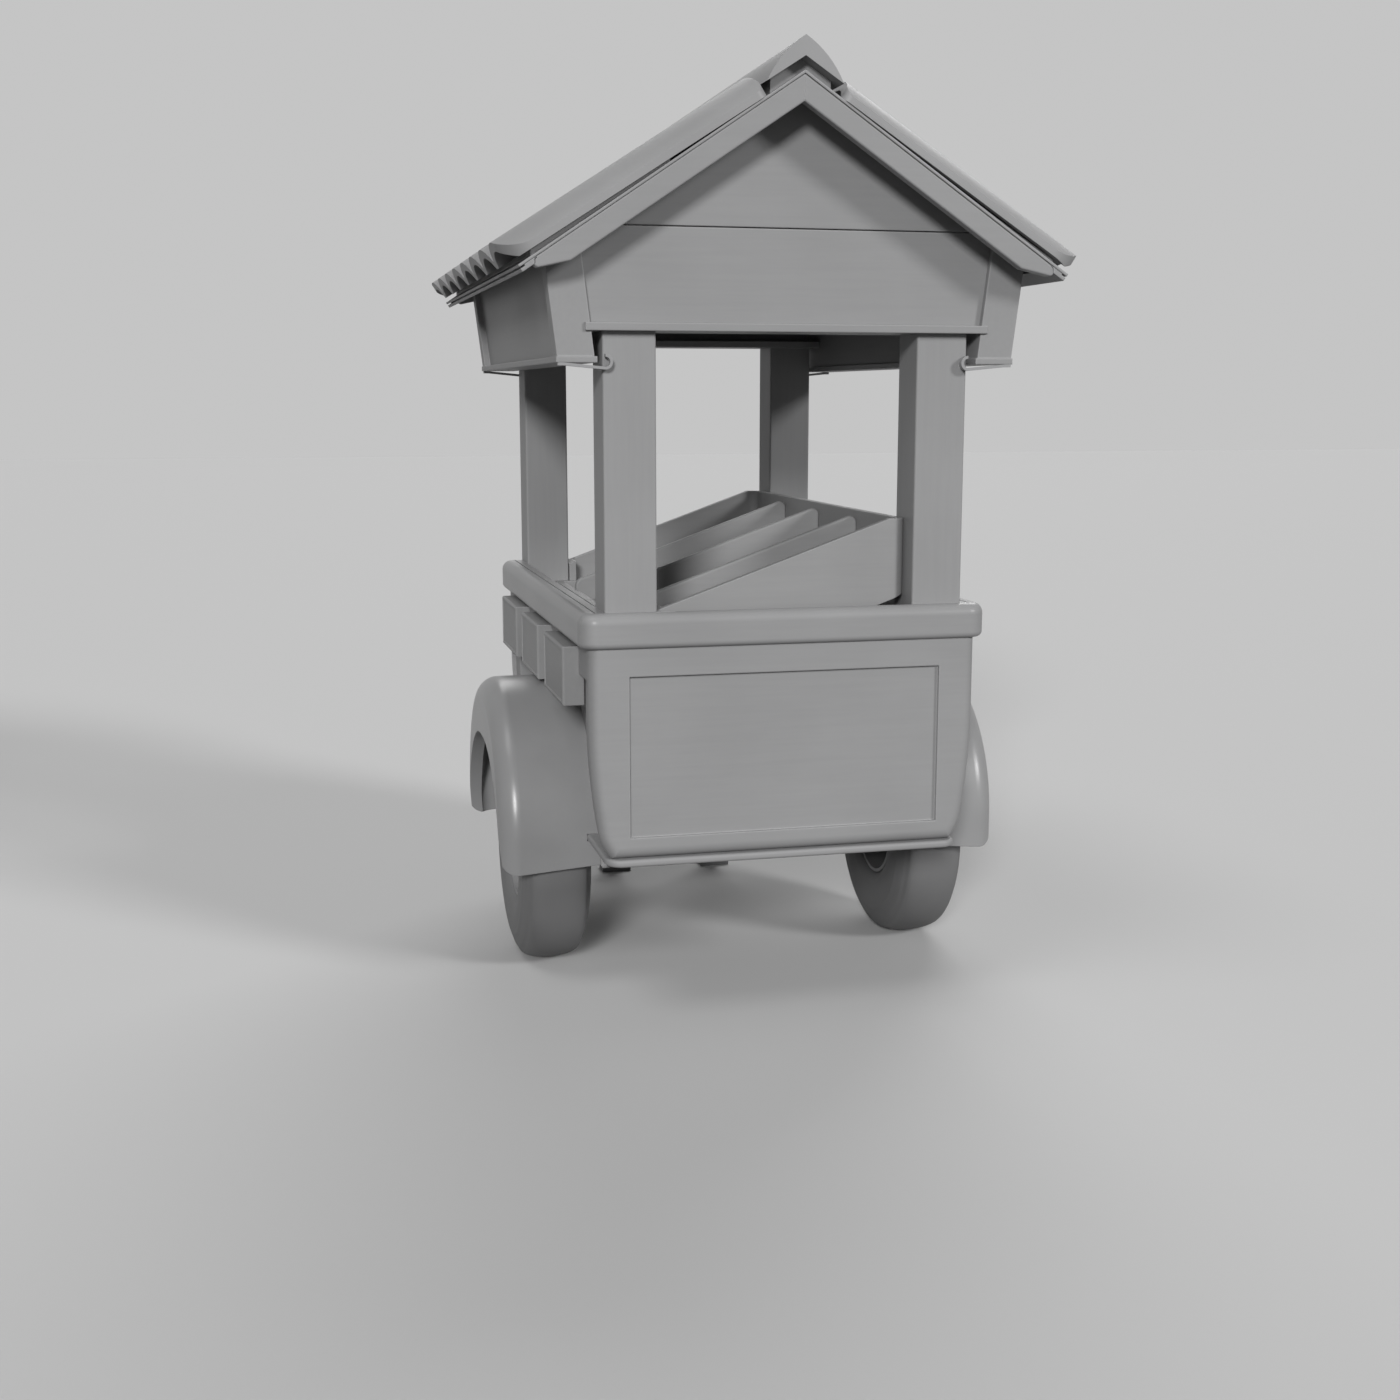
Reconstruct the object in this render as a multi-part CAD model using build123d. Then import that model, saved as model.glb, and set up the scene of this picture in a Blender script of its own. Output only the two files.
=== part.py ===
import math
import os

from build123d import *

os.makedirs("parts", exist_ok=True)

# Farm stand on two wheels, in millimetres. +X is the right-hand side, +Y the back and +Z up.
# The origin is on the ground under the middle of the stand.

# One overrun serves every cut that has to pass a face
overrun = 60.0

# Tub
body_width = 954.0
body_length = 1400.0
tub_lift = 100.0
tub_height = 588.0
tuck_below_rim = 178.0
tuck_above_foot = 62.0
tuck_in = 22.0
foot_in = 30.0
end_panel = 34.0
side_panel = 24.0
side_recess = 54.0
side_stile = 124.0
stile_set_back = 12.0
side_rail = 78.0
panel_edge_round = 28.0
field_margin = 94.0
field_sill = 52.0
field_head = 67.0
field_depth = 9.0

# Base plate under the tub
plate_side_set_back = 37.0
plate_end_reach = 6.0
plate_thickness = 18.0
plate_corner_radius = 40.0
plate_edge_round = 7.0

# Counter rim and the deck inside it
rim_height = 83.0
rim_side_reach = 23.0
rim_end_reach = 15.0
rim_corner_radius = 45.0
rim_top_round = 25.0
rim_bottom_round = 14.0
rim_bead_width = 20.0
rim_groove_width = 4.0
rim_groove_depth = 5.0
deck_board = 18.0

# Posts, which stand on the deck inside the rim
post_size = 124.0
post_side_inset = 39.0
post_end_inset = 12.0
post_edge_round = 5.0
post_height = 722.0

# Wheels and axle
wheel_stand_off = 28.0
axle_y = -105.0
tyre_radius = 303.0
tyre_width = 187.0
bead_radius = 137.0
bead_width = 130.0
bead_seat_gap = 0.3
tyre_shoulder_width_share = 0.74
tyre_shoulder_height_share = 0.86
tyre_bulge_height_share = 0.48
barrel_thickness = 9.0
barrel_lip = 8.0
dish_thickness = 10.0
dish_offset = 28.0
hub_radius = 34.0
hub_length = 96.0
stub_radius = 15.0
stub_clearance = 0.05
hub_end_gap = 1.0
axle_beam = 46.0
axle_cap_radius = 25.0
axle_cap_length = 14.0
axle_tyre_gap = 28.0
seat_width = 70.0
seat_depth = 90.0
seat_inset = 66.0

# Fenders, thick-walled over the wheels
fender_clearance = 64.0
fender_arch_lift = 80.0
fender_shift = 40.0
fender_foot_lift = -1.0
fender_foot_rise = 20.0
fender_foot_round = 42.0
fender_outer_reach = 59.5
fender_inner_lap = 5.5
fender_sheet = 10.0
fender_shoulder = 52.0
fender_skirt = 34.0
fender_inner_round = 30.0
opening_leg = 25.0
opening_head = 152.0
opening_corner_radius = 320.0
well_clearance = 25.0
well_side_gap = 8.0

# Rest legs behind the axle
leg_spread = 320.0
leg_inset = 32.0
leg_size = 40.0
leg_foot_width = 90.0
leg_foot_depth = 58.0
leg_foot_height = 14.0

# Price boxes on the left side
box_count = 3
box_pitch_share = 0.293
box_width_share = 0.707
box_rim_gap = 11.0
box_fender_gap = 4.0
box_thickness = 41.0
box_hang_gap = 12.0
box_border = 9.0
box_recess = 2.5
box_edge_round = 6.0

# Produce tray, between the posts
tray_low_reach = 43.0
tray_end_inset = 33.0
tray_board = 20.0
tray_corner_radius = 42.0
tray_post_gap = 2.0
tray_low_rise = 65.0
tray_slope = 19.7
tray_top_cut = 17.0
tray_high_board = 181.0
tray_floor_board = 12.0
tray_lip_height = 30.0
divider_count = 3
divider_drop = 17.0
divider_low_round = 22.0
divider_high_round = 18.0
divider_edge_round = 6.0

# Head plates and gables
head_plate = 18.0
head_plate_proud = 17.0
nosing_thickness = 7.0
nosing_lap = 14.0
head_plate_lap = 8.0
gable_rise = 542.0
gable_proud = 2.0
gable_board = 20.0
gable_lower_board = 212.0
gable_seam = 3.0

# Leaning valances along the sides
valance_drop = 71.0
valance_post_gap = 19.0
valance_width = 85.0
valance_end_reach = 17.0
valance_lean = 7.0
valance_stile = 50.0
valance_bottom_rail = 14.0
valance_rail_proud = 4.0
valance_field_depth = 18.0

# Hooks under the ends of the valances
hook_bar = 6.5
hook_width = 15.0
hook_radius = 17.5
hook_drop = 9.0
hook_pad = 14.0
hook_end_gap = 1.0

# Roof boards
roof_pitch = 33.7
roof_end_reach = 109.0
roof_board = 6.0
eave_reach = 98.0
barge_set_back = 2.0
barge_thickness = 25.0
barge_depth = 49.0
barge_foot_slope = 12.5
barge_nose_set_back = 34.0
barge_nose_round = 10.0
barge_edge_round = 4.0
barge_foot_rise = 215.0
eave_board = 8.0
eave_board_width = 44.0
eave_packer = 4.0
eave_packer_set_back = 12.0

# Corrugated sheets, each laid on the boards at the ridge and on a tilting batten at the eave
sheet_pitch = 32.6
sheet_top_x = 84.0
sheet_eave_reach = 18.0
sheet_end_reach = 3.0
arch_count = 8
arch_rise = 57.0
valley_height = 16.0
sheet_thickness = 22.0
sheet_eave_corner = 70.0
sheet_top_corner = 22.0
batten_width = 40.0
batten_inset = 30.0
batten_set_back = 60.0
verge_batten_start = 300.0
verge_batten_set_back = 24.0
verge_batten_width = 30.0

# Ridge cap
cap_rise = 73.0
cap_gap = 29.0
cap_reach = 88.0
cap_bulge = 10.0
cap_core_reach = 70.0
cap_core_set_back = 40.0

# Places worked out from the sizes above
half_body = body_width / 2
body_bottom = tyre_radius + tub_lift
counter_height = body_bottom + tub_height
half_body_length = body_length / 2
rim_bottom = counter_height - rim_height
rim_width = body_width + 2 * rim_side_reach
rim_length = body_length + 2 * rim_end_reach
tuck_start = rim_bottom - tuck_below_rim
tuck_end = body_bottom + tuck_above_foot
field_width = body_width - 2 * field_margin
field_bottom = body_bottom + field_sill
field_top = rim_bottom - field_head
plate_width = body_width - 2 * plate_side_set_back
plate_length = body_length + 2 * plate_end_reach
plate_bottom = body_bottom - plate_thickness
deck_top = rim_bottom
half_spread_x = half_body - post_side_inset
half_spread_y = half_body_length - post_end_inset
post_x = half_spread_x - post_size / 2
post_y = half_spread_y - post_size / 2
post_top = deck_top + post_height
wheel_x = half_body + wheel_stand_off
tyre_inner = wheel_x - tyre_width / 2
tyre_outer = wheel_x + tyre_width / 2
well_radius = tyre_radius + well_clearance
well_inner = tyre_inner - well_side_gap
fender_radius = tyre_radius + fender_clearance
fender_arch_height = tyre_radius + fender_arch_lift
fender_foot = tyre_radius + fender_foot_lift
fender_y = axle_y + fender_shift
side_wall = side_recess + side_panel
side_rail_bottom = rim_bottom - side_rail
recess_half = half_body_length - side_stile
fender_outer = tyre_outer + fender_outer_reach
fender_inner = tyre_inner - fender_inner_lap
leg_y = half_body_length - leg_inset
box_face = half_body + box_thickness
box_top = rim_bottom - box_rim_gap
box_bottom = fender_arch_height + fender_radius + box_fender_gap
box_pitch = body_length * box_pitch_share
box_width = box_pitch * box_width_share
tray_high_x = half_spread_x - post_size - tray_post_gap
tray_low_x = -tray_high_x - tray_low_reach
tray_half = half_spread_y - tray_end_inset
gable_foot = post_top + head_plate
gable_face_y = half_spread_y + gable_proud
gable_seam_height = gable_foot + gable_lower_board
valance_bottom = post_top - valance_drop
valance_inner = half_spread_x + valance_post_gap
valance_outer = valance_inner + valance_width
valance_half = half_spread_y + valance_end_reach
ridge_height = gable_foot + gable_rise
half_roof = half_spread_y + roof_end_reach
roof_edge_x = valance_outer + eave_reach
barge_face_y = half_roof - barge_set_back
barge_foot = valance_bottom + barge_foot_rise
sheet_half = half_roof + sheet_end_reach
sheet_end_x = roof_edge_x + sheet_eave_reach
arch_pitch = 2 * sheet_half / arch_count
batten_x = roof_edge_x - batten_inset - batten_width
cap_apex = ridge_height + cap_rise
cap_under = ridge_height + cap_gap
roof_fall = math.tan(math.radians(roof_pitch))
sheet_fall = math.tan(math.radians(sheet_pitch))
roof_board_drop = roof_board / math.cos(math.radians(roof_pitch))
lean = math.tan(math.radians(valance_lean))
tray_fall = math.tan(math.radians(tray_slope))
tray_low_height = deck_top + tray_low_rise
tray_top = tray_low_height + tray_fall * (tray_high_x - tray_low_x) - tray_top_cut
tray_heel = tray_top - tray_high_board


def block(x, y, z):
    """A box between two limits along each axis."""
    centre = Pos((x[0] + x[1]) / 2, (y[0] + y[1]) / 2, (z[0] + z[1]) / 2)
    return centre * Box(x[1] - x[0], y[1] - y[0], z[1] - z[0])


def along_y(edges, y0, y1):
    """A prism along Y, from a closed outline of edges in the XZ plane."""
    return Pos(0, y0, 0) * extrude(make_face(edges), amount=y1 - y0, dir=(0, 1, 0))


def along_x(edges, x0, x1):
    """A prism along X, from a closed outline of edges in the YZ plane."""
    return Pos(x0, 0, 0) * extrude(make_face(edges), amount=x1 - x0, dir=(1, 0, 0))


def outline_xz(*points):
    """A closed polygon in the XZ plane."""
    return Polyline(*[(x, 0, z) for x, z in points], close=True).edges()


def to_left(part):
    """The left-hand twin of a right-hand piece."""
    return mirror(part, about=Plane.YZ)


def to_back(part):
    """The back twin of a front piece."""
    return mirror(part, about=Plane.XZ)


def save(part, name):
    """Write one piece, or several like pieces, to its own file."""
    export_step(part, os.path.join("parts", name + ".step"))


# Tub: the right side's section is vertical, then tucks in on a long curve and rounds under
def side_edges(shift):
    """The right side's outer line from the rim down to the base plate, moved in by shift."""
    x_top = half_body - shift
    x_tuck = x_top - tuck_in
    straight = Line((x_top, 0, rim_bottom), (x_top, 0, tuck_start))
    tuck = TangentArc((x_top, 0, tuck_start), (x_tuck, 0, tuck_end), tangent=(0, 0, -1))
    foot = TangentArc((x_tuck, 0, tuck_end), (x_tuck - foot_in, 0, body_bottom), tangent=tuck % 1)
    return [straight, tuck, foot]


def tub_section(shift):
    """The closed section of the tub, moved in by shift at both sides."""
    right = side_edges(shift)
    left = [mirror(edge, about=Plane.YZ) for edge in right]
    top = Line(right[0] @ 0, left[0] @ 0)
    bottom = Line(right[2] @ 1, left[2] @ 1)
    return right + left + [top, bottom]


def wheel_well(x0, x1, radius):
    """A cylinder about the axle that clears the right wheel."""
    return along_x([Edge.make_circle(radius, Plane.YZ.offset(0))], x0, x1).moved(Pos(0, axle_y, tyre_radius))


tub_outside = along_y(tub_section(0), -half_body_length, half_body_length)

front_panel = along_y(tub_section(0), -half_body_length, end_panel - half_body_length)
front_face = front_panel.faces().sort_by(Axis.Y)[0]
rounded = [edge for edge in front_face.edges() if edge.center().Z < rim_bottom - field_depth]
front_panel = fillet(rounded, panel_edge_round)
front_panel -= block(
    (-field_width / 2, field_width / 2),
    (-half_body_length - overrun, field_depth - half_body_length),
    (field_bottom, field_top),
)
save(front_panel, "front_panel")
save(to_back(front_panel), "back_panel")

outer_line = side_edges(0)
inner_line = side_edges(side_wall)
caps = [Line(outer_line[0] @ 0, inner_line[0] @ 0), Line(outer_line[2] @ 1, inner_line[2] @ 1)]
side_reach = half_body_length - end_panel
right_side = along_y(outer_line + inner_line + caps, -side_reach, side_reach)

# Each side steps in below a top rail, and is recessed deeper between a stile at each end


def side_hollow(depth, half):
    """What is cut from the right side below its rail, down to a depth, over a length about the middle."""
    line = side_edges(depth)
    out = half_body + overrun
    close = [
        Line(line[0] @ 0, (out, 0, rim_bottom)),
        Line((out, 0, rim_bottom), (out, 0, body_bottom)),
        Line((out, 0, body_bottom), line[2] @ 1),
    ]
    hollow = along_y(line + close, -half, half)
    return hollow & block((0, out), (-half, half), (body_bottom, side_rail_bottom))


right_recess = side_hollow(side_recess, recess_half)
right_side -= right_recess
right_side -= side_hollow(stile_set_back, side_reach)
right_side -= wheel_well(well_inner, half_body + overrun, well_radius)
save(right_side, "right_side")
save(to_left(right_side), "left_side")

base_plate = Pos(0, 0, plate_bottom) * extrude(
    RectangleRounded(plate_width, plate_length, plate_corner_radius), amount=plate_thickness
)
plate_outside = base_plate
base_plate = fillet(base_plate.faces().sort_by(Axis.Z)[-1].edges(), plate_edge_round)
base_plate = fillet(base_plate.faces().sort_by(Axis.Z)[0].edges(), plate_edge_round)
right_well = wheel_well(well_inner, half_body + overrun, well_radius)
base_plate -= right_well
base_plate -= to_left(right_well)
save(base_plate, "base_plate")

# Counter rim: one moulding round the tub, made as two end rails with the side rails between them
rim_ring = Pos(0, 0, rim_bottom) * extrude(
    RectangleRounded(rim_width, rim_length, rim_corner_radius), amount=rim_height
)
rim_ring = fillet(rim_ring.faces().sort_by(Axis.Z)[-1].edges(), rim_top_round)
rim_ring = fillet(rim_ring.faces().sort_by(Axis.Z)[0].edges(), rim_bottom_round)
rim_levels = (rim_bottom - overrun, counter_height + overrun)
rim_ring -= block((-half_spread_x, half_spread_x), (-half_spread_y, half_spread_y), rim_levels)
end_zone = block(
    (-rim_width, rim_width), (-rim_length, -half_spread_y), rim_levels
)
side_zone = block((half_spread_x, rim_width), (-half_spread_y, half_spread_y), rim_levels)
rim_front = rim_ring & end_zone
rim_right = rim_ring & side_zone
groove_x = half_spread_x + rim_bead_width
rim_right -= block(
    (groove_x, groove_x + rim_groove_width),
    (-half_spread_y - overrun, half_spread_y + overrun),
    (counter_height - rim_groove_depth, counter_height + overrun),
)
save(rim_front, "rim_front")
save(to_back(rim_front), "rim_back")
save(rim_right, "rim_right")
save(to_left(rim_right), "rim_left")

counter_deck = block(
    (side_wall - half_body, half_body - side_wall),
    (end_panel - half_body_length, half_body_length - end_panel),
    (deck_top - deck_board, deck_top),
)
save(counter_deck, "counter_deck")

# Posts
post = block(
    (post_x - post_size / 2, post_x + post_size / 2),
    (-post_y - post_size / 2, -post_y + post_size / 2),
    (deck_top, post_top),
)
post = fillet(post.edges().filter_by(Axis.Z), post_edge_round)
save(post, "front_right_post")
save(to_left(post), "front_left_post")
save(to_back(post), "back_right_post")
save(to_left(to_back(post)), "back_left_post")

# Wheels: a balloon tyre on a dished disc, turning about X
bead_half = bead_width / 2
tyre_depth = tyre_radius - bead_radius
tyre_seat = bead_radius + bead_seat_gap
shoulder_x = tyre_width / 2 * tyre_shoulder_width_share
shoulder_r = bead_radius + tyre_depth * tyre_shoulder_height_share
bulge_r = bead_radius + tyre_depth * tyre_bulge_height_share
tyre_section = [
    Line((-bead_half, 0, tyre_seat), (bead_half, 0, tyre_seat)),
    ThreePointArc((bead_half, 0, tyre_seat), (tyre_width / 2, 0, bulge_r), (shoulder_x, 0, shoulder_r)),
    ThreePointArc((shoulder_x, 0, shoulder_r), (0, 0, tyre_radius), (-shoulder_x, 0, shoulder_r)),
    ThreePointArc((-shoulder_x, 0, shoulder_r), (-tyre_width / 2, 0, bulge_r), (-bead_half, 0, tyre_seat)),
]
to_right_wheel = Pos(wheel_x, axle_y, tyre_radius)
right_tyre = to_right_wheel * revolve(make_face(tyre_section), axis=Axis.X)
save(right_tyre, "right_tyre")
save(to_left(right_tyre), "left_tyre")

barrel_half = bead_half + barrel_lip
barrel_inner = bead_radius - barrel_thickness
bore_radius = stub_radius + stub_clearance
disc_section = outline_xz(
    (-barrel_half, bead_radius),
    (barrel_half, bead_radius),
    (barrel_half, barrel_inner),
    (dish_offset + dish_thickness, barrel_inner),
    (dish_thickness, hub_radius),
    (hub_length / 2, hub_radius),
    (hub_length / 2, bore_radius),
    (-hub_length / 2, bore_radius),
    (-hub_length / 2, hub_radius),
    (0, hub_radius),
    (dish_offset, barrel_inner),
    (-barrel_half, barrel_inner),
)
right_disc = to_right_wheel * revolve(make_face(disc_section), axis=Axis.X)
save(right_disc, "right_wheel_disc")
save(to_left(right_disc), "left_wheel_disc")

# Axle: a square beam with a round stub and a cap at each end, and two seats up to the base plate
beam_half = tyre_inner - axle_tyre_gap
hub_outer = wheel_x + hub_length / 2 + hub_end_gap
stub_end = hub_outer + axle_cap_length
to_axle = Pos(0, axle_y, tyre_radius)
axle = Box(2 * beam_half, axle_beam, axle_beam)
axle += along_x([Edge.make_circle(stub_radius, Plane.YZ)], -stub_end, stub_end)
axle += along_x([Edge.make_circle(axle_cap_radius, Plane.YZ)], hub_outer, stub_end)
axle += along_x([Edge.make_circle(axle_cap_radius, Plane.YZ)], -stub_end, -hub_outer)
save(to_axle * axle, "axle")

right_seat = block(
    (beam_half - seat_inset - seat_width, beam_half - seat_inset),
    (axle_y - seat_depth / 2, axle_y + seat_depth / 2),
    (tyre_radius + axle_beam / 2, plate_bottom),
)
save(Compound([right_seat, to_left(right_seat)]), "axle_seats")

# Fenders: a rounded arch over the wheel, cut on its inner side to fit the tub and the base plate


def arch(radius, x0, x1):
    """An arch of a half circle on straight legs, solid, along X, that runs past the foot."""
    foot = fender_foot - overrun
    front = fender_y - radius
    back = fender_y + radius
    crown = (0, fender_y, fender_arch_height + radius)
    edges = [
        Line((0, front, foot), (0, front, fender_arch_height)),
        ThreePointArc((0, front, fender_arch_height), crown, (0, back, fender_arch_height)),
        Line((0, back, fender_arch_height), (0, back, foot)),
        Line((0, back, foot), (0, front, foot)),
    ]
    return along_x(edges, x0, x1)


def rounded_arch(radius, x0, x1, round_radius):
    """The same arch with its outer edge rounded over."""
    solid = arch(radius, x0, x1)
    outer_face = solid.faces().sort_by(Axis.X)[-1]
    over = [edge for edge in outer_face.edges() if edge.center().Z > fender_foot - overrun / 2]
    return fillet(over, round_radius)


right_fender = rounded_arch(fender_radius, fender_inner, fender_outer, fender_shoulder)
right_fender -= rounded_arch(
    fender_radius - fender_sheet, fender_inner - overrun, fender_outer - fender_skirt, fender_inner_round
)

# The wheel opening in the outer wall has one wide curve at each top corner
opening_half = fender_radius - opening_leg
opening_top = fender_arch_height + fender_radius - opening_head
opening_low = opening_top - 2 * fender_radius
opening = Pos(fender_y, (opening_top + opening_low) / 2) * Rectangle(2 * opening_half, 2 * fender_radius)
opening = fillet(opening.vertices().group_by(Axis.Y)[-1], opening_corner_radius)
right_fender -= Pos(fender_inner, 0, 0) * extrude(Plane.YZ * opening, amount=fender_outer, dir=(1, 0, 0))

# Its foot rises towards the tub and is rounded at its outer corner
foot_grade = fender_foot_rise / (fender_outer - fender_inner)
fender_top = fender_arch_height + fender_radius + overrun
fender_front = outline_xz(
    (fender_inner - overrun, fender_foot + fender_foot_rise + foot_grade * overrun),
    (fender_outer, fender_foot),
    (fender_outer, fender_top),
    (fender_inner - overrun, fender_top),
)
fender_front = along_y(fender_front, fender_y - fender_radius - overrun, fender_y + fender_radius + overrun)
outer_corner = fender_front.edges().filter_by(Axis.Y).group_by(Axis.X)[-1].sort_by(Axis.Z)[0]
right_fender &= fillet(outer_corner, fender_foot_round)
right_fender -= tub_outside - right_recess
right_fender -= plate_outside
save(right_fender, "right_fender")
save(to_left(right_fender), "left_fender")

# Rest legs
leg_x = leg_spread / 2
right_leg = block(
    (leg_x - leg_size / 2, leg_x + leg_size / 2),
    (leg_y - leg_size / 2, leg_y + leg_size / 2),
    (0, plate_bottom),
)
right_leg += block(
    (leg_x - leg_foot_width / 2, leg_x + leg_foot_width / 2),
    (leg_y - leg_foot_depth / 2, leg_y + leg_foot_depth / 2),
    (0, leg_foot_height),
)
save(Compound([right_leg, to_left(right_leg)]), "rest_legs")

# Price boxes: blank framed boxes that hang on the left side's top rail, deeper below it
price_box = block((-box_face, -half_body), (-box_width / 2, box_width / 2), (box_bottom, box_top))
box_front = price_box.faces().sort_by(Axis.X)[0]
price_box = fillet(box_front.edges(), box_edge_round)
price_box -= block(
    (-box_face - overrun, box_recess - box_face),
    (box_border - box_width / 2, box_width / 2 - box_border),
    (box_bottom + box_border, box_top - box_border),
)
price_box += block(
    (-half_body, box_hang_gap - half_body),
    (-box_width / 2, box_width / 2),
    (box_bottom, side_rail_bottom),
)
box_places = [(index - (box_count - 1) / 2) * box_pitch for index in range(box_count)]
save(Compound([Pos(0, place, 0) * price_box for place in box_places]), "price_boxes")

# Produce tray: a walled tray on the deck that rises to the right, notched round the left posts
notch_x = tray_post_gap - (post_x - post_size / 2)
notch_y = post_y - post_size / 2 - tray_post_gap


def tray_plan(inset):
    """The tray's outline from above, moved in by inset."""
    low = tray_low_x + inset
    high = tray_high_x - inset
    half = tray_half - inset
    plan = Pos((low + high) / 2, 0) * Rectangle(high - low, 2 * half)
    right_corners = plan.vertices().group_by(Axis.X)[-1]
    plan = fillet(right_corners, tray_corner_radius - inset)
    notch_reach = notch_x + inset
    notch_side = notch_y - inset
    for side in (-1, 1):
        notch_width = half + overrun - notch_side
        middle = side * (notch_side + notch_width / 2)
        notch = Pos(notch_reach - overrun, middle) * Rectangle(2 * overrun, notch_width)
        plan -= notch
    return plan


def tray_end_height(x):
    """The height of the tray's sloping top edge."""
    return tray_low_height + tray_fall * (x - tray_low_x)


def tray_floor_height(x):
    """The height of the underside of the tray where it rises off the deck."""
    return tray_heel + tray_fall * (x - tray_high_x)


rise_x = tray_high_x - (tray_heel - deck_top) / tray_fall
flat_x = tray_high_x - tray_top_cut / tray_fall
floor_drop = tray_floor_board / math.cos(math.radians(tray_slope))
tray_profile = outline_xz(
    (tray_low_x - overrun, deck_top),
    (rise_x, deck_top),
    (tray_high_x + overrun, tray_floor_height(tray_high_x + overrun)),
    (tray_high_x + overrun, tray_top),
    (flat_x, tray_top),
    (tray_low_x - overrun, tray_end_height(tray_low_x - overrun)),
)
tray_levels = counter_height + tray_top
tray_ring = extrude(tray_plan(0), amount=tray_levels) - extrude(tray_plan(tray_board), amount=tray_levels)
tray_ring &= along_y(tray_profile, -tray_half - overrun, tray_half + overrun)
tray_middle = block((tray_low_x - overrun, tray_high_x + overrun), (-notch_y, notch_y), (0, tray_levels))
tray_ends = tray_ring - tray_middle
tray_walls = tray_ring & tray_middle
tray_front_end = tray_ends.solids().sort_by(Axis.Y)[0]
tray_back_end = tray_ends.solids().sort_by(Axis.Y)[-1]
tray_low_wall = tray_walls.solids().sort_by(Axis.X)[0]
tray_low_wall &= block(
    (tray_low_x - overrun, tray_high_x), (-tray_half, tray_half), (deck_top, deck_top + tray_lip_height)
)
tray_high_wall = tray_walls.solids().sort_by(Axis.X)[-1]
save(tray_front_end, "tray_front_end")
save(tray_back_end, "tray_back_end")
save(tray_low_wall, "tray_low_wall")
save(tray_high_wall, "tray_high_wall")

floor_rise_x = rise_x - floor_drop / tray_fall
floor_profile = outline_xz(
    (floor_rise_x, deck_top),
    (rise_x, deck_top),
    (tray_high_x, tray_floor_height(tray_high_x)),
    (tray_high_x, tray_floor_height(tray_high_x) + floor_drop),
)
tray_floor = extrude(tray_plan(tray_board), amount=tray_levels)
tray_floor &= along_y(floor_profile, -tray_half, tray_half)
save(tray_floor, "tray_floor")

divider_low = tray_low_x + tray_board
divider_high = tray_high_x - tray_board
divider_outline = outline_xz(
    (divider_low, deck_top),
    (floor_rise_x, deck_top),
    (divider_high, tray_floor_height(divider_high) + floor_drop),
    (divider_high, tray_end_height(divider_high) - divider_drop),
    (divider_low, tray_end_height(divider_low) - divider_drop),
)
divider = along_y(divider_outline, -tray_board / 2, tray_board / 2)
across = divider.edges().filter_by(Axis.Y)
top_low = [edge for edge in across.group_by(Axis.X)[0] if edge.center().Z > deck_top + tray_board]
divider = fillet(top_low, divider_low_round)
across = divider.edges().filter_by(Axis.Y)
top_high = across.group_by(Axis.X)[-1].sort_by(Axis.Z)[-1]
divider = fillet(top_high, divider_high_round)
crown_drop = divider_drop + divider_low_round
crown_edges = [
    edge
    for edge in divider.edges()
    if abs(edge.center().Y) > tray_board / 4 and edge.center().Z > tray_end_height(edge.center().X) - crown_drop
]
divider = fillet(crown_edges, divider_edge_round)
divider_pitch = (2 * tray_half - tray_board) / (divider_count + 1)
divider_places = [(index - (divider_count - 1) / 2) * divider_pitch for index in range(divider_count)]
save(Compound([Pos(0, place, 0) * divider for place in divider_places]), "tray_dividers")

# Valances: leaning boxes under the eaves, with a recessed panel between two end stiles


def roof_under(x):
    """The height of the underside of the roof boards."""
    return ridge_height - roof_board_drop - roof_fall * x


def leaning_top(x_bottom):
    """Where a valance face that starts at x_bottom meets the roof boards."""
    height = (roof_under(x_bottom) + roof_fall * lean * valance_bottom) / (1 + roof_fall * lean)
    return x_bottom + lean * (height - valance_bottom), height


def leaning_x(x_bottom, height):
    """How far out a valance face is at a height."""
    return x_bottom + lean * (height - valance_bottom)


valance_section = outline_xz(
    (valance_inner, valance_bottom),
    (valance_outer, valance_bottom),
    leaning_top(valance_outer),
    leaning_top(valance_inner),
)
right_valance = along_y(valance_section, -valance_half, valance_half)
sill = valance_bottom + valance_bottom_rail
head = roof_under(valance_inner)
field_back = valance_outer - valance_field_depth
valance_field = outline_xz(
    (leaning_x(field_back, sill), sill),
    (leaning_x(field_back, sill) + overrun, sill),
    (leaning_x(field_back, head) + overrun, head),
    (leaning_x(field_back, head), head),
)
right_valance -= along_y(valance_field, valance_stile - valance_half, valance_half - valance_stile)
right_valance += block(
    (valance_inner - valance_rail_proud, valance_outer + valance_rail_proud),
    (-valance_half - valance_rail_proud, valance_half + valance_rail_proud),
    (valance_bottom, sill),
)
save(right_valance, "right_valance")
save(to_left(right_valance), "left_valance")

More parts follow.
